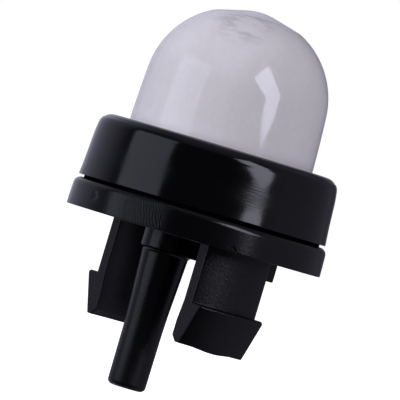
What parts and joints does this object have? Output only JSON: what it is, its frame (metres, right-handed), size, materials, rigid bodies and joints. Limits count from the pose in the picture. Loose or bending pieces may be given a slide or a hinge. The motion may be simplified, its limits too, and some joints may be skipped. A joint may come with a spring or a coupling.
{
  "type": "primer bulb",
  "caption": "Snap-in fuel primer: a milky translucent squeeze dome clamped by a black ring on a round black base with snap legs and hose nipples.",
  "frame": {"origin": "on the axis, in the plane of the base's underside, which sits against the panel", "axes": "+Z along the axis towards the dome, +X towards one snap leg, -Y towards the long nipple"},
  "size_m": [0.0222, 0.0222, 0.0334],
  "materials": {
    "milky_bulb": "milky translucent, satin, moulded",
    "black_nylon": "black, semi-gloss, moulded",
    "valve_rubber": "matt, moulded"
  },
  "bodies": {
    "root": {"base": "black_nylon", "retainer_ring": "black_nylon", "primer_bulb": "milky_bulb", "check_valve": "valve_rubber"}
  },
  "joints": []
}
